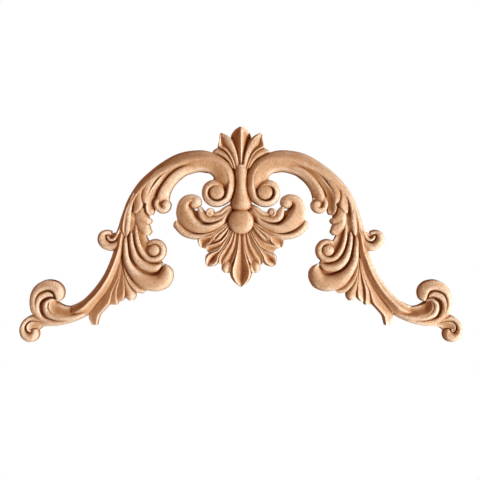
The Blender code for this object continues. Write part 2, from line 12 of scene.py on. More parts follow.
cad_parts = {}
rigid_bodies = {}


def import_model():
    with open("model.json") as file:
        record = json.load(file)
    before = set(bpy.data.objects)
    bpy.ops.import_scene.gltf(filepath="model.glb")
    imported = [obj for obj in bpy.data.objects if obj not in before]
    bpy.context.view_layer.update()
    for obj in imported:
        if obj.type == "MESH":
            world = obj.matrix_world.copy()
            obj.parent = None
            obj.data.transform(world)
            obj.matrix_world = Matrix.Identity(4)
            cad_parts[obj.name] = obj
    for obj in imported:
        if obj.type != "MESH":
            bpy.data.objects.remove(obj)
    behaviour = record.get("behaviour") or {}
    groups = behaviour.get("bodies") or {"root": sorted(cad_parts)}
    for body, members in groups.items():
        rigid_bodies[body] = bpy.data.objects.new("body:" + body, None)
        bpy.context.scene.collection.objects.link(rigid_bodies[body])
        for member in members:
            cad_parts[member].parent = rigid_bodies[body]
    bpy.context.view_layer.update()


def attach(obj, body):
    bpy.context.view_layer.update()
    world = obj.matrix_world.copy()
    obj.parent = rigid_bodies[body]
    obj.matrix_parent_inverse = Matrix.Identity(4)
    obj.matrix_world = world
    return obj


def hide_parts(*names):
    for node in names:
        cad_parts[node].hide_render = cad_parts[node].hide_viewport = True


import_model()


# The boss: a low round button in the middle of the beech board, shaped by a hollow cutter. Like every form
# below it is carved from the front of the one board. All are drawn in millimetres from the middle of the
# boss, for the right half, and are helpers until they are joined.

MM = 0.001
BUTTON_AROUND = 48  # corners round a button
BUTTON_RINGS = 24  # rings from pole to pole of the ball that it is cut from

lobes = bpy.data.collections.new("lobes")
bpy.context.scene.collection.children.link(lobes)


def keep(bm, name):
    """Keeps a form for the joining, with its mirror image when it lies off the axis."""
    bmesh.ops.recalc_face_normals(bm, faces=bm.faces)
    mesh = bpy.data.meshes.new(name)
    bm.to_mesh(mesh)
    lobes.objects.link(bpy.data.objects.new(name, mesh))
    if min(vert.co.x for vert in bm.verts) > 0:
        bmesh.ops.scale(bm, verts=bm.verts, vec=(-1, 1, 1))
        bmesh.ops.reverse_faces(bm, faces=bm.faces)
        mirrored = bpy.data.meshes.new(name + "_left")
        bm.to_mesh(mirrored)
        lobes.objects.link(bpy.data.objects.new(name + "_left", mirrored))
    bm.free()


def dome(name, cx, cz, radius, top, drop):
    """A round button: half a ball flattened to `drop` high, on a straight round wall down to the back."""
    bm = bmesh.new()
    bmesh.ops.create_uvsphere(bm, u_segments=BUTTON_AROUND, v_segments=BUTTON_RINGS, radius=1)
    everything = bm.verts[:] + bm.edges[:] + bm.faces[:]
    bmesh.ops.bisect_plane(bm, geom=everything, plane_co=(0, 0, 0), plane_no=(0, 0, 1), clear_inner=True)
    bmesh.ops.scale(bm, verts=bm.verts, vec=(radius * MM, radius * MM, drop * MM))
    rim = [edge for edge in bm.edges if edge.is_boundary]
    wall = bmesh.ops.extrude_edge_only(bm, edges=rim)["geom"]
    foot = [item for item in wall if isinstance(item, bmesh.types.BMVert)]
    bmesh.ops.translate(bm, verts=foot, vec=(0, 0, -(top - drop) * MM))
    bmesh.ops.holes_fill(bm, edges=[edge for edge in bm.edges if edge.is_boundary])
    bmesh.ops.rotate(bm, verts=bm.verts, cent=(0, 0, 0), matrix=Matrix.Rotation(radians(90), 3, "X"))
    bmesh.ops.translate(bm, verts=bm.verts, vec=(cx * MM, -(top - drop) * MM, cz * MM))
    keep(bm, name)


dome("boss", 0, 0.2, 9.0, 15.5, 4.6)


# The bell: a plain waisted bead of beech that stands on the boss, cut lengthwise by a ball cutter. It and
# all the forms below but the buttons are lobes: lofts through a few ribs, each from one edge to the other.

EDGE_LEAST = 3.5 * MM  # thinnest rim that the cutter leaves
WALL_DRAFT = 0.5 * MM  # how far the sawn wall leans out on its way to the back
STATION = 1.0  # millimetres along a lobe from ring to ring
ACROSS = 1.0  # millimetres across a lobe from corner to corner
CLOSEST = 0.01  # millimetres: two ribs count as at least this far apart

# A section's points: a place from edge A (0) to edge B (1), and how far the surface lies there under the
# lobe's crest, as a share of the lobe's width
BEAD = ((0, 0.42), (0.08, 0.25), (0.25, 0.085), (0.5, 0), (0.75, 0.085), (0.92, 0.25), (1, 0.42))


def middle(rib):
    return Vector((rib[0] + rib[2], rib[1] + rib[3])) / 2


def between(p, q, slope_p, slope_q, gap, share):
    """The smooth curve from p to q, with its slopes given per millimetre of the gap."""
    s2 = share * share
    s3 = s2 * share
    value = p * (2 * s3 - 3 * s2 + 1) + q * (3 * s2 - 2 * s3)
    return value + slope_p * ((s3 - 2 * s2 + share) * gap) + slope_q * ((s3 - s2) * gap)


def smooth(rows, gaps):
    """Slopes of a smooth curve through the rows, one at each."""
    slopes = [(two - one) / gap for one, two, gap in zip(rows, rows[1:], gaps)]
    inner = [
        (before * after_gap + after * before_gap) / (before_gap + after_gap)
        for before, after, before_gap, after_gap in zip(slopes, slopes[1:], gaps, gaps[1:])
    ]
    return [slopes[0], *inner, slopes[-1]]


def rings_of(ribs):
    """Ribs a station apart on the smooth curve through the drawn ones."""
    rows = [Vector(rib) for rib in ribs]
    gaps = [max((middle(two) - middle(one)).length, CLOSEST) for one, two in zip(rows, rows[1:])]
    slopes = smooth(rows, gaps)
    made = [rows[0]]
    for i, gap in enumerate(gaps):
        edge_a = (rows[i + 1].xy - rows[i].xy).length
        edge_b = (Vector(rows[i + 1][2:4]) - Vector(rows[i][2:4])).length
        pieces = max(2, round(max(edge_a, edge_b, gap) / STATION))
        for j in range(1, pieces + 1):
            made.append(between(rows[i], rows[i + 1], slopes[i], slopes[i + 1], gap, j / pieces))
    return made


def drop_at(section, place):
    """How far a section lies under its crest, read off a smooth curve through its points."""
    rows = [Vector(point) for point in section]
    gaps = [two[0] - one[0] for one, two in zip(rows, rows[1:])]
    slopes = smooth(rows, gaps)
    for i, gap in enumerate(gaps):
        if place <= rows[i + 1][0]:
            share = (place - rows[i][0]) / gap
            return between(rows[i], rows[i + 1], slopes[i], slopes[i + 1], gap, share)[1]
    return rows[-1][1]


def places_of(section, widest):
    """Shares of the way across at which a ring has a corner: the section's own, and more where it is wide."""
    own = [place for place, _ in section]
    if not any(drop for _, drop in section):
        return own
    made = [0]
    for low, high in zip(own, own[1:]):
        pieces = max(1, round((high - low) * widest / ACROSS))
        made += [low + (high - low) * j / pieces for j in range(1, pieces + 1)]
    return made


def lobe(name, section, *ribs, k=1.0, end=None):
    """One lobe. A rib is edge A's x and z, edge B's x and z, and the crest's height off the back. k scales
    how steeply the lobe falls from its crest, and it may turn into another section, end, on its way."""
    rows = rings_of(ribs)
    widest = max(Vector((row[2] - row[0], row[3] - row[1])).length for row in rows)
    places = places_of(section if not end or len(section) > len(end) else end, widest)
    first = [drop_at(section, place) for place in places]
    last = [drop_at(end, place) for place in places] if end else first
    bm = bmesh.new()
    bmesh.ops.create_circle(bm, cap_ends=True, segments=len(places) + 2, radius=1)
    cap = bm.faces[:][0]
    for i, row in enumerate(rows):
        share = i / (len(rows) - 1)
        a, b = Vector(row[:2]), Vector(row[2:4])
        width = (b - a).length
        lean = (b - a) / width * WALL_DRAFT
        if i:
            cap = bmesh.ops.extrude_discrete_faces(bm, faces=[cap])["faces"][0]
        for vert, place, one, two in zip(cap.verts, places, first, last):
            spot = a + (b - a) * place
            drop = (one * (1 - share) + two * share) * k * width
            height = max((row[4] - drop) * MM, EDGE_LEAST)
            vert.co = (spot.x * MM, -height, spot.y * MM)
        cap.verts[-2].co = (b.x * MM + lean.x, 0, b.y * MM + lean.y)
        cap.verts[-1].co = (a.x * MM - lean.x, 0, a.y * MM - lean.y)
    bmesh.ops.holes_fill(bm, edges=[edge for edge in bm.edges if edge.is_boundary])
    keep(bm, name)


lobe("bell", BEAD, (-4.7, 8, 4.7, 8, 12.5), (-7.8, 10.2, 7.8, 10.2, 14), (-7.8, 12, 7.8, 12, 14.6),
     (-6.9, 15.5, 6.9, 15.5, 14.6), (-5.2, 19, 5.2, 19, 14.2), (-4.1, 23, 4.1, 23, 13.8),
     (-3.8, 29, 3.8, 29, 13.6), (-4.4, 36, 4.4, 36, 13.4), (-4.8, 41, 4.8, 41, 12.6))


# The crest: a ridged leaf of beech on the axis, rising from the bell, with two smaller leaves that curl away
# on either side of it, all cut by a fine ball cutter. A low floor of uncut wood joins them.

RIDGE = ((0, 0.38), (0.25, 0.22), (0.47, 0.01), (0.5, 0), (0.53, 0.01), (0.75, 0.22), (1, 0.38))
FOLD = ((0, 0.25), (0.08, 0.05), (0.25, 0), (0.48, 0.06), (0.68, 0.26), (0.8, 0.12), (0.92, 0), (1, 0.2))
BEAD_B = ((0, 0.36), (0.15, 0.22), (0.4, 0.08), (0.68, 0), (0.82, 0.04), (0.94, 0.22), (1, 0.42))
FLAT = ((0, 0), (0.5, 0), (1, 0))

lobe("crest_centre", RIDGE, (-1.6, 38, 1.6, 38, 10.8), (-1.9, 47, 1.9, 47, 12), (-2.6, 52, 2.6, 52, 12.3),
     (-4.6, 57, 4.6, 57, 12.2), (-6.9, 61.4, 6.9, 61.4, 12), (-6.1, 64.2, 6.1, 64.2, 11.6),
     (-4.1, 66.8, 4.1, 66.8, 11), (-1.2, 68.6, 1.2, 68.6, 9.6), k=1.2)
lobe("crest_second", FOLD, (1.2, 38, 4.6, 38, 11.5), (2.0, 44, 6.6, 44, 12.4), (3.1, 50, 10, 49.6, 12.6),
     (5, 55.6, 13.6, 52.4, 12.2), (7.2, 60, 16.6, 54.2, 11.4), (9.6, 62.2, 16.2, 57, 10.6),
     (12.2, 63.4, 15.3, 60.6, 9.8), (14.2, 64.4, 15.3, 63.2, 8.8), k=.95)
lobe("crest_third", BEAD_B, (4.0, 38, 6.6, 39, 11), (5.8, 45, 10.5, 44.6, 11.5), (9.4, 50, 14, 47, 11.2),
     (13.6, 52.9, 18.2, 48.8, 10.4), (17.7, 53, 20.3, 49.9, 9.4), (19.5, 52, 20.4, 50.6, 8.6))
lobe("crest_floor", FLAT, (.8, 30, 9, 30, 8.4), (.8, 36, 13, 36, 8.4), (.8, 40.3, 18, 40.5, 8.4),
     (1, 44, 17, 45, 8.4), (1.4, 47.5, 15, 47, 8.4), (2.4, 52, 14, 50.5, 8.2), (3.6, 56, 11, 54, 8),
     (5.8, 59.7, 9, 58, 7.6))


# The main scrolls: a round band of beech that starts as a volute beside the bell, turns over the arch and
# runs down the leg, with a hollowed web inside the turn and a second, inner band that leaves it on the way.

BEAD_A = ((0, 0.42), (0.06, 0.22), (0.18, 0.04), (0.32, 0), (0.6, 0.08), (0.85, 0.22), (1, 0.36))
SLOPE = ((0, 0.34), (0.06, 0.27), (0.2, 0.19), (0.5, 0.08), (0.8, 0.01), (1, 0))


def coil(cx, cz, *rows):
    """Ribs of a spiral band: each row is an angle, the inner and outer radius there, and the crest height."""
    ribs = []
    for degrees, inner, outer, height in rows:
        angle = radians(degrees)
        a = (cx + inner * cos(angle), cz + inner * sin(angle))
        b = (cx + outer * cos(angle), cz + outer * sin(angle))
        ribs.append((*a, *b, height))
    return ribs


lobe("arm", BEAD_A, *coil(17.4, 21, (165, 3.4, 5.4, 10), (130, 3.8, 7.2, 11), (95, 4.3, 8.9, 11.8),
     (65, 5.0, 10.0, 12.2), (30, 6.1, 10.8, 12.4), (0, 6.5, 10.6, 12.5), (-30, 6.4, 10.4, 12.5),
     (-60, 6, 10, 12.5), (-90, 5.7, 9.7, 12.5), (-120, 5.8, 9.8, 12.5), (-150, 6.3, 11, 12.5)),
     (10.9, 21, 5.2, 21, 12.6), (10, 27, 4.5, 27, 12.9), (10.9, 34, 5.4, 35, 13), (13.8, 38.6, 9, 41.8, 13),
     (19, 42, 15.8, 47.6, 13), (27, 42.5, 26, 51.4, 13), (34, 41.5, 36, 51.3, 13), (42, 39, 46, 49, 13),
     (50, 36, 55.6, 43.9, 13), (58, 31.5, 65.2, 36.7, 13), (66, 26, 73.6, 28.6, 13),
     (71.4, 21, 78.5, 21.5, 13), (76, 15.5, 82, 15, 12.7), (79, 9, 84.6, 8.2, 12.4), (81.5, 2, 87, 1, 12.2),
     (83.5, -4, 88.4, -4, 11.5), (86.2, -9, 90, -8, 10.5), k=1.3)
dome("volute_eye", 17.3, 21.4, 5.3, 12.4, 1.8)
lobe("volute_floor", FLAT, (7, 18, 7, 31, 8.6), (13, 13.5, 13, 34, 8.6), (20, 13.5, 20, 29, 8.6),
     (24, 17, 24, 26, 8.6))
lobe("arch_web", SLOPE, (13.5, 24, 8.9, 22.4, 9.4), (15.5, 27.5, 8.5, 25.7, 11.1),
     (19.2, 30, 8.4, 29.6, 12.6), (19.6, 32.6, 9.3, 34.2, 12.9), (22, 35.1, 12.5, 39.7, 12.92),
     (26.3, 36.7, 18.1, 43.8, 12.92), (31, 36.9, 26.8, 45.1, 12.92), (36, 35.9, 34.4, 44.3, 12.7),
     (40, 34, 41.4, 42.7, 11.8), (44, 31, 46.8, 40.2, 9.5), k=1.1)
lobe("arch_inner", BEAD_B, (23.8, 35.9, 22, 42, 9), (29.7, 36.7, 28, 43, 10.5),
     (35.4, 35.7, 36, 42.2, 12.2), (41, 33.5, 43.8, 39.6, 12.8), (46.4, 28.9, 50.3, 35.2, 13),
     (50, 24, 55.7, 28.8, 13), (52, 18.6, 60, 21.5, 12.8), (52.6, 15.6, 61.2, 16.4, 12.2),
     (53.4, 14.4, 61, 14.6, 11), k=1.25)
lobe("arch_floor", FLAT, (49, 34, 52, 38, 8.6), (56.5, 26, 62.3, 30, 8.6), (60, 19.6, 66.3, 21, 8.6),
     (60.6, 16.6, 66.4, 17, 8.6))


# The wings: a broad hooked leaf of beech on each side of the boss, with a shorter leaf, a small round bud
# and a low rim leaf about it. The board is sawn right through at one small spot beside each hook.

lobe("wing", BEAD_A, (5, 8, 5, 2, 10), (8, 9.7, 9, 1.6, 11), (13.7, 2.6, 13, -2.4, 12),
     (20, -1, 20, -6.2, 12.6), (27, -1.6, 28, -8, 13), (32.6, 3, 38.3, -5.4, 13.2),
     (35, 7.6, 45.3, .8, 13.2), (37, 10.6, 46.6, 8.5, 13), (37.4, 12.4, 44.2, 15.5, 12.8),
     (36.4, 13.6, 40.2, 19, 12.6), (34.6, 13.6, 34.5, 19.7, 12.4), (33.2, 13, 29.6, 17.1, 11.8),
     (33, 11.6, 28.8, 13, 10.8), (33, 10.4, 30.2, 10.6, 10), k=.8)
lobe("wing_floor", FLAT, (12.2, 3.2, 12.2, -2.2, 8.8), (20, 2, 20, -4, 8.6), (28, 1.5, 29, -4, 8.4),
     (30.4, 5, 34, 0, 8.2), (30.6, 7.8, 36.4, 6.2, 8.2), (33.9, 9, 38, 10.4, 8.2), (35, 12, 39, 12, 8.2))
dome("wing_head", 33.2, 14.5, 4.7, 12.8, 4)
lobe("wing_inner", BEAD_B, (5, 8, 5, 5, 10), (8.5, 9.6, 7.8, 8.8, 11), (12.2, 6.2, 12, 3.4, 11.8),
     (15.5, 4.6, 17, .8, 12.2), (20, 3.9, 22, -.4, 12.4), (23.8, 4.4, 27.2, .4, 12.4),
     (25.6, 6.5, 30, 3, 12.2), (26.6, 8.1, 31, 7, 11.6), (29, 10.9, 31, 10.6, 10.8), k=.75)
lobe("wing_upper", BEAD, (7.5, 12.8, 6.4, 9.3, 10), (9.5, 12, 8.9, 8.9, 11), (13.2, 9.9, 12, 6.1, 11.6),
     (15.5, 8, 15, 4.4, 11.6), (18.5, 6.8, 18, 3.8, 11.4), (20.4, 7, 20.6, 4, 11))
lobe("wing_bud", BEAD, *coil(22.1, 6.7, (165, 1, 2.8, 10), (110, 1.1, 3.1, 11.6), (50, 1.2, 3.2, 12.4),
     (0, 1.3, 3.2, 12.6), (-50, 1.3, 3.1, 12.4), (-100, 1.3, 3, 11.8), (-140, 1.2, 2.8, 11)), k=.8)
dome("wing_bud_floor", 22.1, 6.7, 2.2, 12.1, 1)
lobe("wing_lower", BEAD, (8, 1, 8, -1, 10), (10, -.4, 10, -1.6, 11), (13.3, -2.6, 13.5, -4.2, 11.4),
     (16.4, -4.5, 16.8, -6.6, 11.4), (20.2, -6.3, 20.3, -8.8, 11.4), (24.4, -7.6, 24.2, -10, 11.4),
     (29, -8.6, 28.4, -11.6, 11.4), (34, -8.2, 35, -12, 11.4), (38.9, -6, 42.3, -9.6, 11.2),
     (42.8, -2.4, 46.8, -5.4, 10.9), (44.8, .3, 48.8, -1.8, 10.3), (46, 1.2, 47.6, .8, 9.6))
lobe("wing_lower_floor", FLAT, (26, -7.5, 26, -9, 8.4), (34, -7, 35, -9.5, 8.4), (40, -4, 42, -6.5, 8.4),
     (43.5, -1, 46, -2, 8.4), (44.9, 1, 46.6, .4, 8.4))


# The fan: a long hollowed drop on the axis, with five grooved leaves and two plain ribs on each side, all
# spreading from under the boss. Cut in the beech lengthwise with a small ball cutter.

GOUGE = ((0, 0.34), (0.05, 0.1), (0.12, 0), (0.2, 0.05), (0.5, 0.22), (0.8, 0.05), (0.88, 0), (0.95, 0.1),
         (1, 0.34))
VEE = ((0, 0.25), (0.06, 0.05), (0.12, 0), (0.3, 0.1), (0.5, 0.26), (0.7, 0.1), (0.88, 0), (0.94, 0.05),
       (1, 0.25))
LOW_BEAD = ((0, 0.25), (0.1, 0.14), (0.28, 0.04), (0.5, 0), (0.72, 0.04), (0.9, 0.14), (1, 0.25))

lobe("drop", GOUGE, (-1.9, -5, 1.9, -5, 11), (-2.2, -13, 2.2, -13, 11.6), (-3.2, -20, 3.2, -20, 11.9),
     (-5.6, -28.5, 5.6, -28.5, 11.6), (-7.6, -34.6, 7.6, -34.6, 11), (-7.2, -39, 7.2, -39, 10.4),
     (-4.6, -43.4, 4.6, -43.4, 9.6), (-.4, -46.8, .4, -46.8, 8.4), k=1.3)
lobe("boss_floor", FLAT, (-13.2, -5.3, -13.2, 3.7, 8.5), (-11.3, -8.1, -11.3, 6.7, 8.5),
     (-6, -9, -6, 10.3, 8.5), (6, -9, 6, 10.3, 8.5), (11.3, -8.1, 11.3, 6.7, 8.5),
     (13.2, -5.3, 13.2, 3.7, 8.5))
lobe("fan_floor", FLAT, (2, -5, 9, 0, 9.4), (2, -14, 15, -4, 9.6), (3, -23, 21, -9.5, 9.6),
     (9, -27.5, 22.5, -15, 9.2))
lobe("fan_leaf_5", GOUGE, (10.4, -1.6, 10.6, -2.6, 10.4), (14.3, -5.2, 13.8, -6, 11.2),
     (18, -7.3, 17.2, -8.6, 11.6), (22, -9.6, 20.4, -11.8, 11.6), (27.4, -10.3, 21.6, -15.2, 11.2),
     (30.9, -12, 24, -17.2, 10.6), (31, -15, 25.4, -18.4, 10), (29.6, -17.9, 27, -19, 9.2), k=1.1)
lobe("fan_rib_1", BEAD, (8.6, -1.2, 8, -3, 10.4), (11.3, -4.8, 10.5, -7, 11.4),
     (14.2, -7.5, 13.2, -10.3, 11.8), (17, -10.2, 15.8, -12.9, 11.6), (18.7, -12, 18.7, -14.2, 10.8))
lobe("fan_rib_2", BEAD, (9.4, -1, 8.8, -1.8, 10.4), (13.4, -4.7, 12.2, -5.3, 11.4),
     (16.8, -7.4, 15.2, -7.9, 11.8), (20, -10.2, 18.1, -10.7, 11.6), (21, -13.2, 19.4, -13.4, 10.6), k=.8)
lobe("fan_leaf_4", GOUGE, (8.6, -4.4, 7.4, -6, 10.4), (10.4, -9, 9, -10.3, 11.4),
     (13.8, -13, 11.8, -15, 11.8), (17.8, -15, 15.6, -19.3, 11.6), (21.4, -15.8, 18.8, -21.2, 11.2),
     (25.2, -17, 21.4, -22.2, 10.6), (25.7, -19, 23.6, -22, 9.8), k=1.2)
lobe("fan_leaf_3", VEE, (7.2, -6, 6, -6.8, 10.4), (9.2, -9.6, 7.4, -10, 11.2), (12, -14.2, 10, -15.4, 11.6),
     (16.4, -20.2, 13.8, -21.3, 11.6), (21.3, -22.2, 15.9, -25.6, 11.2), (24.4, -23.6, 16.8, -29.4, 10.8),
     (25.7, -27, 20.4, -31.7, 10.2), (25.3, -31, 23.8, -32.1, 9), k=1.3)
lobe("fan_leaf_2", GOUGE, (5.8, -6, 3.8, -6, 10.4), (6.4, -8.4, 4, -8.6, 11), (8.6, -13.8, 5, -14.4, 11.5),
     (11.5, -18.3, 6.9, -19.6, 11.6), (14.3, -22.4, 9.4, -24.2, 11.2), (16, -26, 11.6, -27.4, 10.6),
     (16, -28.8, 12.6, -30.2, 9.9), (15, -30.6, 13.4, -31, 9.2), k=1.25)
lobe("fan_leaf_1", GOUGE, (4.4, -6, 2, -6, 10.4), (4.6, -8.4, 2, -8, 11), (5.5, -13.8, 2.2, -15.5, 11.4),
     (7.3, -18.8, 3, -21, 11.4), (9.8, -23.4, 4.6, -26, 11), (12, -27, 6, -29.6, 10.4),
     (12.4, -29.6, 7.2, -31, 9.6), k=1.4)
lobe("fan_leaf_1_tip", LOW_BEAD, (12.6, -26.6, 6, -28, 8.6), (13.2, -29.6, 5.9, -31, 10.2),
     (13.6, -32.4, 6.3, -33.4, 10.4), (13.3, -35, 7.2, -35.6, 9.8), (11.8, -36.6, 8.9, -36.8, 9), end=FOLD)


# The leaves under the arch: the inner band's curled end, then four leaves that lap over each other like
# shingles down the leg, and two short leaves that nick its inner edge. Carved in the same beech.

SPOON = ((0, 0.5), (0.12, 0.46), (0.35, 0.4), (0.62, 0.2), (0.82, 0.02), (0.9, 0), (0.96, 0.08), (1, 0.28))

lobe("inner_curl_floor", FLAT, (51.8, 10, 51.8, 17, 9.6), (57, 7.6, 57, 18, 10.6),
     (62.2, 10.5, 62.2, 18, 9.6))
lobe("inner_curl", BEAD, *coil(57, 13.2, (78, 2.8, 5.6, 11.2), (40, 2.5, 5.3, 12), (0, 2.3, 5.6, 12.2),
     (-40, 2.3, 6, 12.2), (-80, 2.5, 6.5, 12.2), (-120, 2.4, 6.7, 12.2), (-155, 1.8, 6.5, 12),
     (-190, 1, 5.8, 11.5), (-215, .8, 4.6, 10.5)), k=.8)
dome("inner_curl_ball", 54.3, 12.6, 2.9, 12.7, 2)
lobe("shingle_1", SPOON, (43, 39.6, 44, 40.6, 11.5), (47.5, 36.8, 49.4, 39, 12.2),
     (53, 32.2, 55.6, 34.6, 12.5), (58, 26, 61.5, 28, 12.6), (61.3, 20, 66.3, 21, 12.4),
     (62.4, 14, 68.2, 14, 12.2), (62.6, 9.6, 68.6, 9.3, 12), (62.9, 7, 67.5, 6.4, 11.5),
     (63.8, 5.2, 65.9, 4.9, 10.8), k=1)
lobe("shingle_2", LOW_BEAD, (46, 41, 50, 42.5, 12), (51, 38.5, 57, 40, 12.4), (57.5, 33.5, 64, 35, 12.7),
     (63, 27.5, 69.2, 28, 13), (65.6, 22, 71.2, 22, 13), (66.7, 17.5, 71.4, 17.8, 13),
     (67.1, 14.8, 70, 14.4, 12.8), (67.7, 13.4, 68.8, 13.2, 12.3), k=.8)
lobe("cleft_floor", FLAT, (67.5, 12, 71, 14, 9.6), (67.5, 6, 70.5, 8, 9.2), (66.5, 3.4, 69.5, 3, 9))
lobe("shingle_3", BEAD_A, (66, 30, 69, 31, 11.5), (68.6, 25.5, 72, 26.5, 12.5), (71.3, 21.5, 75.2, 21, 13),
     (71.4, 17.5, 76.4, 16.8, 13), (70.3, 13.6, 77, 12.8, 12.8), (71, 10.2, 77, 9.6, 12.5),
     (73.1, 8, 76.8, 7.4, 12.1), (75, 6.3, 76.2, 6, 11.5), k=.65)
lobe("shingle_4", LOW_BEAD, (76.2, 20, 77.6, 21, 12.3), (77.6, 14, 80.2, 14.5, 12.6),
     (79, 7, 83.2, 7.3, 12.8), (79.5, 0, 84.8, .2, 12.8), (80, -4.5, 85.3, -4.5, 12.6),
     (80.7, -7.6, 85, -7.2, 12.3), (81.4, -9.3, 83.8, -9.1, 12), (82, -10, 82.8, -10, 11.5), end=FOLD)
lobe("nick_leaf_1", LOW_BEAD, (70, 10, 73.5, 9.5, 10.8), (69.4, 6.5, 75.2, 6, 11.5),
     (67, 3.2, 75.4, 3, 11.5), (64.8, 1.4, 75.2, -.5, 11.2), (65.3, -.8, 73, -1.8, 10.5),
     (66.8, -2, 71, -2, 9.5), k=.7)
lobe("nick_leaf_2", LOW_BEAD, (69, -.5, 75.2, 1, 11.4), (66.3, -2.6, 74.9, -2, 11.8),
     (65.4, -5.2, 74.2, -4.4, 11.6), (64.8, -7.4, 72.8, -6.8, 11), (67, -9.6, 70.8, -8.6, 10), k=.7)


# The cluster on each leg: a small volute, a swept rib and a big curl turn inwards, and five narrow leaves
# hang below them, all springing from under the shingled leaves. Cut in the beech by ball cutters.

SHED = ((0, 0.3), (0.05, 0.08), (0.12, 0), (0.25, 0.08), (0.5, 0.24), (0.8, 0.36), (1, 0.42))


def turn(cx, cz, start, stop, inner, outer, rise, steps):
    """Ribs of a spiral band between two angles; a pair is a radius, or the crest height, at either end."""
    rows = []
    for i in range(steps + 1):
        share = i / steps
        ends = ((start, stop), inner, outer, rise)
        rows.append([first + (last - first) * share for first, last in ends])
    return coil(cx, cz, *rows)


lobe("small_volute", BEAD, (74.9, 0, 75.7, 0, 9), (74.7, -4, 76.2, -4, 10.6), (74.1, -8, 76.4, -8, 11.6),
     (73.3, -12, 76.1, -12.3, 12), (71.8, -16.5, 75, -17.2, 12), (69, -22, 72.3, -23.4, 12),
     (65.5, -25, 67.8, -27.9, 11.8), *turn(62.5, -20.3, -80, -320, (4.5, 3.6), (8.8, 7.3),
     (11.8, 10), 9)[1:], k=.85)
dome("small_volute_eye", 62.7, -20.4, 4.1, 12.3, 2.2)
lobe("small_volute_hollow", LOW_BEAD, (68, -6, 74.6, -6, 9.6), (68.4, -11, 74, -11, 9.4),
     (66.5, -14, 73, -15, 9.2), (64, -17, 71, -20, 9), (60, -21, 69, -23.6, 8.8), k=.3)
lobe("cluster_floor", FLAT, (64.6, 17, 80, 17, 9.2), (67, 8, 84, 8, 9.2), (66.6, 0, 86, 0, 9.2),
     (68.3, -11, 88, -11, 9.2), (63, -18, 87, -18, 9), (58, -27, 86.5, -27, 8.8),
     (57.5, -31, 86.5, -31, 8.6), (57, -36, 86.5, -36, 8.4), (69, -45.5, 88.4, -44.5, 7.8),
     (74.6, -50, 90, -50.4, 7.4))
lobe("swept_rib", BEAD, (78.4, -7.6, 79.3, -7.6, 11), (78, -10, 80.1, -10, 12),
     (77.6, -13, 80.2, -13.6, 12.4), (76.3, -19, 79.2, -20.4, 12.7), (72.5, -25.8, 76.5, -28.8, 12.7),
     (66, -29.7, 70.8, -34.4, 12.5), (60.6, -30.2, 64.5, -36.2, 12), (57.6, -29.5, 59.2, -34.8, 11),
     (56.6, -29.6, 57.2, -32, 10), k=.75)
lobe("big_curl", BEAD, (82.2, -10, 83.2, -10, 11), (81.9, -13, 84.3, -13, 12.2),
     (81.5, -18, 84.4, -18, 12.9), (79.8, -27.5, 83.8, -29, 13.4), (74, -35, 79.6, -39, 13.6),
     (65, -38, 72.3, -47.5, 13.6), (59, -36.8, 60, -49.7, 13.2), (56.7, -32.5, 51.5, -45.2, 12.8),
     (55.8, -30.9, 49.1, -38, 12), (55.6, -30.5, 50, -34.2, 11.4), (55.2, -30.2, 52.4, -31.5, 10.4), k=.75)
lobe("hanging_leaf_1", BEAD_B, (83.8, -25, 85, -25, 10.5), (82, -34, 84.4, -35, 11),
     (79, -40, 82.4, -42, 11), (74, -45, 78.6, -48, 10.8), (69.5, -47.5, 75.2, -50.9, 10),
     (67, -48.5, 70.5, -51.6, 9))
lobe("hanging_leaf_2", BEAD, (83.6, -32, 84.8, -32, 10), (82.3, -42, 84.2, -43, 10.5),
     (79, -48, 83.8, -48, 10.3), (76.3, -51.5, 83.6, -52, 9.8), (76.7, -54.6, 82.9, -54.8, 9.2),
     (78.2, -56.6, 80.6, -56.7, 8.4), k=.7)
lobe("hanging_leaf_3", SPOON, (87.3, -30, 85.4, -30, 10), (88.6, -42, 84, -42, 10.5),
     (90, -48.5, 83.6, -48, 10.3), (91, -54, 83.9, -53, 10), (90.2, -57.2, 85.3, -56.2, 9.2),
     (89.4, -57.9, 86.8, -57.4, 8.4), k=.6)
lobe("hanging_leaf_4", SHED, (84.8, -26, 86.5, -26, 10.5), (87.6, -42, 90, -42, 10.8),
     (89.4, -49, 93.2, -49.5, 10.6), (89.5, -55, 95, -56, 10), (89.3, -59, 95.2, -59, 9),
     (89.8, -59.7, 94.6, -59.6, 8.6), k=.7)
lobe("hanging_leaf_5", SHED, (85.4, -20, 86.8, -20, 10.5), (88.2, -40, 91.5, -40, 10.8),
     (92.5, -50, 97.3, -50, 10.5), (94.8, -58.6, 103, -57.5, 10.3), (99.4, -64, 107.5, -62.5, 10),
     (102.3, -67.6, 109.6, -66, 9.6), (103.5, -71.5, 109.6, -70.2, 9), (104.2, -74.4, 107.8, -74, 8.2),
     k=.7)


# The stem: a keeled band of beech that carries the scroll down each leg and ends in a scooped hollow, with a
# small curl thrown off outwards near its top.

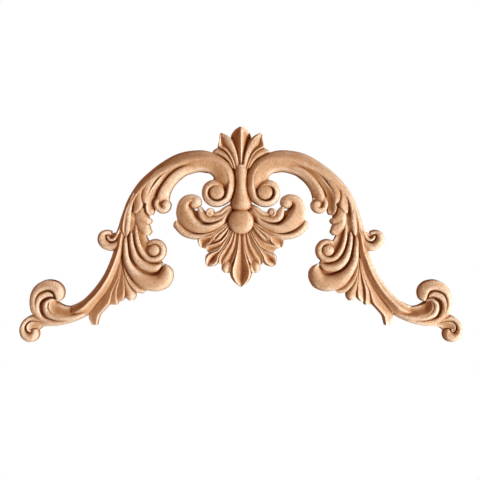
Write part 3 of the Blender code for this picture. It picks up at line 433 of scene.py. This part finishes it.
lobe("stem", RIDGE, (83.2, -4, 85.6, -2, 10), (84, -10, 87.8, -8, 11.8), (84.5, -20, 91.2, -19.6, 13),
     (86.9, -28, 94.3, -28.5, 13.2), (91, -38.5, 98.7, -38, 13.2), (96.6, -49.3, 106.1, -48.4, 13.2),
     (103.8, -58.3, 114.4, -56.6, 12.8), (110.8, -66.4, 120.5, -60, 12.3), (116, -69, 124, -61.2, 10.2),
     (120.4, -70, 127, -61.2, 8), k=.95)
lobe("stem_hollow", SPOON, (113, -60, 110.4, -65, 8), (120, -61.2, 118, -69, 10.4),
     (127.6, -60.7, 127.4, -69.2, 11.7), (133, -58.4, 136, -66.4, 12), (134.5, -56.6, 138.5, -62, 12),
     (134.8, -56, 138, -57.6, 11), k=.95)
lobe("side_curl", BEAD, (85, -7, 82.5, -10.5, 10.5), (87.5, -11.3, 86, -16.3, 11.3),
     (91, -14.4, 90.3, -19.6, 12), (94.3, -15.1, 95.5, -20.4, 12.3), (96.8, -13.4, 100.3, -18.3, 12.5),
     (97.8, -11, 103.2, -12.8, 12.3), (97.6, -9.5, 102, -8.3, 11.9), (96.5, -8.8, 99.2, -6.2, 11.3),
     (95.2, -8.8, 95.9, -6, 10.7), (93.8, -9.2, 93.3, -7, 10), k=.7)
lobe("side_curl_lip", BEAD, (84.6, -2, 88.1, -3, 10.6), (87, -7.6, 89.7, -7.2, 11),
     (89, -11.6, 91, -10.2, 11), (91.8, -13.7, 92.7, -11.9, 11.2), (94.6, -13.7, 93.9, -11.9, 11.2),
     (96.3, -12, 94.9, -11, 11), (96.9, -10, 95.5, -9.9, 10.5))
lobe("side_curl_floor", FLAT, (85.5, -2, 85.4, -9.4, 8.8), (89.3, -7.2, 88.6, -13.4, 8.6),
     (92.3, -8.2, 92.3, -16.2, 8.4), (95, -8.1, 97.5, -15.6, 8.3), (96, -8, 99.6, -10.6, 8.3))


# The end scrolls: at the foot of each leg three bands of beech turn over one another, and a small curl
# reaches out beyond them. Their floors are the lowest of the carving.

lobe("end_band_floor", FLAT, (126, -61.5, 126, -72, 7), (132.5, -57.6, 134, -72, 7),
     (135.5, -49.5, 143, -70, 7), (141, -49.2, 147, -66, 7.4), (145.5, -52.3, 148.8, -63, 7.4))
lobe("end_curl_floor", FLAT, (143, -75, 147, -69.5, 7.4), (148.5, -79.5, 152.5, -71, 7.4),
     (151.2, -82.4, 156.3, -75.6, 7.4), (153.3, -83, 157.2, -78.8, 7.4))
lobe("end_band_outer", BEAD_A, (109.4, -63.4, 108.8, -65.2, 8.5), (113.4, -66, 112.4, -67.7, 9),
     (120, -69, 119.2, -71, 9.5), (128, -71, 127.7, -73.7, 10), (138, -70, 139, -74.6, 10.3),
     (144.4, -67, 149.2, -67.6, 11), (147.8, -60, 151.8, -61, 12), (147.9, -56, 151.6, -53.8, 12.5),
     (146, -52, 149, -47.4, 12.8), (142.5, -49.8, 144, -43.2, 13), (139, -48.9, 138.2, -42, 13),
     (136, -50, 131.8, -43.8, 12.6), (134.4, -52.5, 128.2, -48.3, 12), (133.8, -54.5, 127.9, -51.8, 11.2),
     (133.4, -56, 129.4, -55.6, 10.2), (132.8, -57, 131.3, -57, 9.2), k=.8)
lobe("end_band_middle", BEAD, (133, -71.9, 133, -73, 9), (139, -70.8, 140, -72, 10),
     (143.4, -67.4, 146.4, -68.4, 11), (145.2, -62, 149, -62, 11.6), (144.8, -58, 147.7, -56.8, 12),
     (142.7, -55.5, 146, -53, 12), (139.6, -54, 142.3, -50.6, 11.8), (137, -53.6, 138.2, -50.2, 11.3),
     (135.3, -54.2, 135.4, -52.1, 10.5), k=.8)
lobe("end_band_inner", BEAD, (110, -62.6, 109, -64.8, 8.5), (116, -65.6, 114.6, -68.2, 10.2),
     (121, -67, 120, -70.6, 11.4), (127, -67.2, 127.5, -71.2, 12), (133, -66.8, 134, -70.6, 12.3),
     (137.3, -64.3, 140.5, -67.4, 12.5), (139, -61, 142.4, -62, 12.5), (138.6, -58.6, 141.6, -58, 12.3),
     (137, -57, 138.6, -55.8, 11.8), (134.8, -56.5, 135.3, -55.2, 10.8), (133, -57.3, 133.4, -56.4, 10),
     k=.8)
lobe("end_curl", BEAD, (138, -73, 139.5, -71.8, 9), (144, -72.3, 146, -69.6, 10),
     (149.5, -71.3, 150.3, -67.6, 10.5), (152.2, -71.4, 154.8, -69.2, 10.8),
     (154.8, -73.7, 158.3, -73.4, 11.3), (155.8, -77, 159.4, -79, 11.5), (154.5, -79.7, 157.4, -84, 11.4),
     (152.4, -79.9, 152, -86.6, 11.3), (151.2, -79, 147.3, -84.1, 11), (150.8, -78, 146.2, -80.3, 10.4),
     (150.8, -77, 147, -77.4, 9.4), k=.8)
lobe("end_curl_inner", SPOON, (134, -75, 134, -73, 8.5), (140, -75.2, 141, -72.8, 9),
     (146.5, -76, 147.6, -71.6, 9.8), (149.8, -76.6, 151.4, -71.8, 10.5), (151.4, -77, 154, -74.3, 11),
     (151.3, -77.8, 154, -77.8, 11), (150.8, -78.4, 151.8, -79.6, 10.5), k=.6)


# The carving: the forms of both halves joined as one piece of beech, pierced with a fine saw, carved from the
# front by small round cutters, sanded lightly and left bare. It is smooth on each form and crisp where two
# of them meet, tan with a pink cast, and matt. The flat back is as sawn, to be glued on.

SHARP = 38  # degrees: a fold steeper than this stays a crisp line
MERGE = 0.01 * MM  # corners nearer than this are one
SLIVER = 0.005 * MM  # faces thinner than this are dropped
CELL = 1.5 * MM  # the wood's depth is compared with the mean about it on a grid of this size
MARGIN = 4  # empty cells kept round the piece, which count as the open air
DEEP = 2.2 * MM  # this far under what is around it, a place counts as fully hollow

FLECK_LONG = 1.8 * MM  # beech's brown flecks
FLECK_WIDE = 0.5 * MM
STREAK_LONG = 60 * MM  # the pale and darker streaks of its grain, which runs up the piece
STREAK_WIDE = 5 * MM
PORES_DEEP = 0.15 * MM

DARK_STREAK = "#AC763A"
PALE_STREAK = "#DEB386"
# painted highlight, put on the crests and rims
CREST_PAINTED_HIGHLIGHT = "#F6E0C2"
# painted shade, put in the grooves
GROOVE_PAINTED_SHADE = "#8C4A0A"
FLECK_BROWN = "#96602E"

boss = lobes.objects["boss"]
join = boss.modifiers.new("join", "BOOLEAN")
join.operation = "UNION"
join.solver = "MANIFOLD"
join.operand_type = "COLLECTION"
join.collection = bpy.data.collections.new("others")
bpy.context.scene.collection.children.link(join.collection)
for form in list(lobes.objects):
    if form is not boss:
        join.collection.objects.link(form)
        lobes.objects.unlink(form)
bpy.context.view_layer.update()
carved = bpy.data.meshes.new_from_object(boss.evaluated_get(bpy.context.evaluated_depsgraph_get()))
for form in [*join.collection.objects, boss]:
    bpy.data.objects.remove(form, do_unlink=True)
for group in (bpy.data.collections["others"], lobes):
    bpy.data.collections.remove(group)

bm = bmesh.new()
bm.from_mesh(carved)
bmesh.ops.remove_doubles(bm, verts=bm.verts, dist=MERGE)
bmesh.ops.dissolve_degenerate(bm, edges=bm.edges, dist=SLIVER)
bmesh.ops.triangulate(bm, faces=bm.faces)
bm.to_mesh(carved)
bm.free()
carved.name = "carving"
carving = bpy.data.objects.new("carving", carved)
bpy.context.scene.collection.objects.link(carving)
carved.shade_smooth()
carved.set_sharp_from_angle(angle=radians(SHARP))


def soften(grid):
    """The grid with each cell the mean of the nine about it."""
    for axis in (0, 1):
        grid = (np.roll(grid, 1, axis) + grid + np.roll(grid, -1, axis)) / 3
    return grid


# How far each point lies under the mean of what is within about 3 mm of it: above 0 in a groove, below it on
# a crest or a rim
points = np.empty(len(carved.vertices) * 3)
carved.vertices.foreach_get("co", points)
points = points.reshape(-1, 3)
heights = -points[:, 1]
spots = (points[:, [0, 2]] - points[:, [0, 2]].min(axis=0)) / CELL + MARGIN
front = heights > EDGE_LEAST
cells = tuple(np.round(spots[front]).astype(int).T)
total = np.zeros(np.ceil(spots.max(axis=0)).astype(int) + MARGIN)
count = np.zeros(total.shape)
np.add.at(total, cells, heights[front])
np.add.at(count, cells, 1)
around = soften(soften(total / np.maximum(count, 1)))
near = np.floor(spots).astype(int)
past = spots - near
level = sum(
    around[near[:, 0] + i, near[:, 1] + j] * np.abs(1 - i - past[:, 0]) * np.abs(1 - j - past[:, 1])
    for i in (0, 1) for j in (0, 1)
)
# This measure drives the painted shade in the grooves and the painted highlight on the crests
hollow = carved.attributes.new("hollow", "FLOAT", "POINT")
hollow.data.foreach_set("value", np.clip((level - heights) / DEEP, -1, 1))


def linear(code):
    """An sRGB hex colour as the linear numbers that a shader takes."""
    channels = [int(code[i:i + 2], 16) / 255 for i in (1, 3, 5)]
    return (*(c / 12.92 if c <= 0.04045 else ((c + 0.055) / 1.055) ** 2.4 for c in channels), 1)


def add(tree, kind, settings={}, **links):
    """A node with its settings; a link is named as its socket, with _ for a space, or n and its number."""
    node = tree.nodes.new(kind)
    for key, value in settings.items():
        if isinstance(key, str) and hasattr(node, key):
            setattr(node, key, value)
        else:
            node.inputs[key].default_value = value
    for key, source in links.items():
        socket = node.inputs[int(key[1:])] if key[1:].isdigit() else node.inputs[key.replace("_", " ")]
        tree.links.new(source, socket)
    return node


# Beech, cut and sanded but not finished: grain streaks up the piece and fine flecks, with a painted highlight
# that makes the crests paler and painted shade that makes the grooves browner
beech = bpy.data.materials.new("bare_carved_beech")
beech.use_nodes = True
tree = beech.node_tree
shader = tree.nodes["Principled BSDF"]
shader.inputs["Roughness"].default_value = 0.6
shader.inputs["IOR"].default_value = 1.55
place = add(tree, "ShaderNodeTexCoord").outputs["Object"]
low = add(tree, "ShaderNodeAttribute", {"attribute_name": "hollow"}).outputs["Fac"]

streak_size = (1 / STREAK_WIDE, 1 / STREAK_WIDE, 1 / STREAK_LONG)
streak_place = add(tree, "ShaderNodeMapping", {"Scale": streak_size}, Vector=place)
streaks = add(tree, "ShaderNodeTexNoise", {"Scale": 1.0, "Detail": 3.0, "Roughness": 0.55},
              Vector=streak_place.outputs[0])
tan = add(tree, "ShaderNodeMix", {"data_type": "RGBA", 6: linear(DARK_STREAK), 7: linear(PALE_STREAK)},
          n0=streaks.outputs["Fac"])

# Painted highlight: the crests and rims, which stand above what is around them, are made paler
crest = add(tree, "ShaderNodeMapRange", {"From Min": 0.0, "From Max": -0.6, "To Min": 0.0, "To Max": 0.8},
            Value=low)
painted_crest_highlight = add(tree, "ShaderNodeMix", {"data_type": "RGBA", 7: linear(CREST_PAINTED_HIGHLIGHT)},
            n0=crest.outputs[0], n6=tan.outputs[2])
# Painted shade: the grooves, which lie under what is around them, are made browner
groove = add(tree, "ShaderNodeMapRange", {"From Min": 0.0, "From Max": 0.6, "To Min": 0.0, "To Max": 0.9},
             Value=low)
painted_groove_shade = add(tree, "ShaderNodeMix", {"data_type": "RGBA", 7: linear(GROOVE_PAINTED_SHADE)},
              n0=groove.outputs[0], n6=painted_crest_highlight.outputs[2])

fleck_size = (1 / FLECK_WIDE, 1 / FLECK_WIDE, 1 / FLECK_LONG)
fleck_place = add(tree, "ShaderNodeMapping", {"Scale": fleck_size}, Vector=place)
flecks = add(tree, "ShaderNodeTexNoise", {"Scale": 1.0, "Detail": 2.0, "Roughness": 0.6},
             Vector=fleck_place.outputs[0])
fleck_mask = add(tree, "ShaderNodeMapRange",
                 {"From Min": 0.46, "From Max": 0.68, "To Min": 0.0, "To Max": 0.7},
                 Value=flecks.outputs["Fac"])
flecked = add(tree, "ShaderNodeMix", {"data_type": "RGBA", 7: linear(FLECK_BROWN)},
              n0=fleck_mask.outputs[0], n6=painted_groove_shade.outputs[2])
tree.links.new(flecked.outputs[2], shader.inputs["Base Color"])

pores = add(tree, "ShaderNodeBump", {"Strength": 0.3, "Distance": PORES_DEEP}, Height=flecks.outputs["Fac"])
tree.links.new(pores.outputs[0], shader.inputs["Normal"])

carved.materials.clear()
carved.materials.append(beech)
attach(carving, "root")
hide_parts("applique")


# The studio: a white paper floor well below the piece, which hangs free as it would on a door, in a white
# surround, with one soft key lamp low on the right and a weak one from the left.

FLOOR_DOWN = 0.62
FLOOR_SIDE = 3.0
FLOOR_PARTS = 8
PAPER = "#F4F3F1"
SURROUND = 0.25  # how bright the surround is as a light, where what the camera sees of it counts as 1
WARM = "#FF9840"  # the tone of what the surround gives back, warmed by the wood's own reflections
KEY_FROM = Vector((0.78, -0.58, -0.27))
KEY_AWAY = 1.9
KEY_SIZE = 0.42
KEY_POWER = 61
KEY_TONE = "#EEF6FC"
FILL_FROM = Vector((-0.5, -1, 0.4))
FILL_AWAY = 1.3
FILL_SIZE = 0.9
FILL_POWER = 1

bm = bmesh.new()
bmesh.ops.create_grid(bm, x_segments=FLOOR_PARTS, y_segments=FLOOR_PARTS, size=FLOOR_SIDE / 2)
bmesh.ops.translate(bm, verts=bm.verts, vec=(0, 0, -FLOOR_DOWN))
floor_mesh = bpy.data.meshes.new("floor")
bm.to_mesh(floor_mesh)
bm.free()
floor = bpy.data.objects.new("floor", floor_mesh)
bpy.context.scene.collection.objects.link(floor)
paper = bpy.data.materials.new("white_paper")
paper.use_nodes = True
paper_shader = paper.node_tree.nodes["Principled BSDF"]
paper_shader.inputs["Base Color"].default_value = linear(PAPER)
paper_shader.inputs["Roughness"].default_value = 0.9
floor_mesh.materials.append(paper)

world = bpy.data.worlds.new("studio")
bpy.context.scene.world = world
world.use_nodes = True
sky = world.node_tree
seen = add(sky, "ShaderNodeLightPath").outputs["Is Camera Ray"]
strength = add(sky, "ShaderNodeMapRange", {"To Min": SURROUND, "To Max": 1.0}, Value=seen)
tint = add(sky, "ShaderNodeMix", {"data_type": "RGBA", 6: linear(WARM), 7: (1, 1, 1, 1)}, n0=seen)
sky.links.new(tint.outputs[2], sky.nodes["Background"].inputs["Color"])
sky.links.new(strength.outputs[0], sky.nodes["Background"].inputs["Strength"])


def lamp(name, direction, away, size, power, colour="#FFFFFF"):
    """A round lamp that faces the origin and that the camera doesn't see."""
    data = bpy.data.lights.new(name, "AREA")
    data.shape = "DISK"
    data.size = size
    data.energy = power
    data.color = linear(colour)[:3]
    made = bpy.data.objects.new(name, data)
    made.location = direction.normalized() * away
    made.rotation_euler = direction.to_track_quat("Z", "Y").to_euler()
    made.visible_camera = False
    bpy.context.scene.collection.objects.link(made)


lamp("key", KEY_FROM, KEY_AWAY, KEY_SIZE, KEY_POWER, KEY_TONE)
lamp("fill", FILL_FROM, FILL_AWAY, FILL_SIZE, FILL_POWER)
bpy.context.scene.view_settings.view_transform = "Standard"


# The camera: it looks straight at the piece, as the photo does, from as far as a long lens needs. The
# piece takes 443 of the photo's 480 pixels across and stands a little above its middle.

PIECE_WIDE = 0.320
FRAME_WIDE = 480 / 443 * PIECE_WIDE
LENS = 95  # millimetres, on a film 36 wide
FILM = 36
FACE_AHEAD = 0.006  # the edges that the photo shows lie about this far before the back
CAMERA_SIDE = -0.0007
CAMERA_UP = -0.0130

camera_data = bpy.data.cameras.new("camera")
camera_data.lens = LENS
camera = bpy.data.objects.new("camera", camera_data)
camera.location = (CAMERA_SIDE, -(FRAME_WIDE * LENS / FILM + FACE_AHEAD), CAMERA_UP)
camera.rotation_euler = (pi / 2, 0, 0)
bpy.context.scene.collection.objects.link(camera)
bpy.context.scene.camera = camera
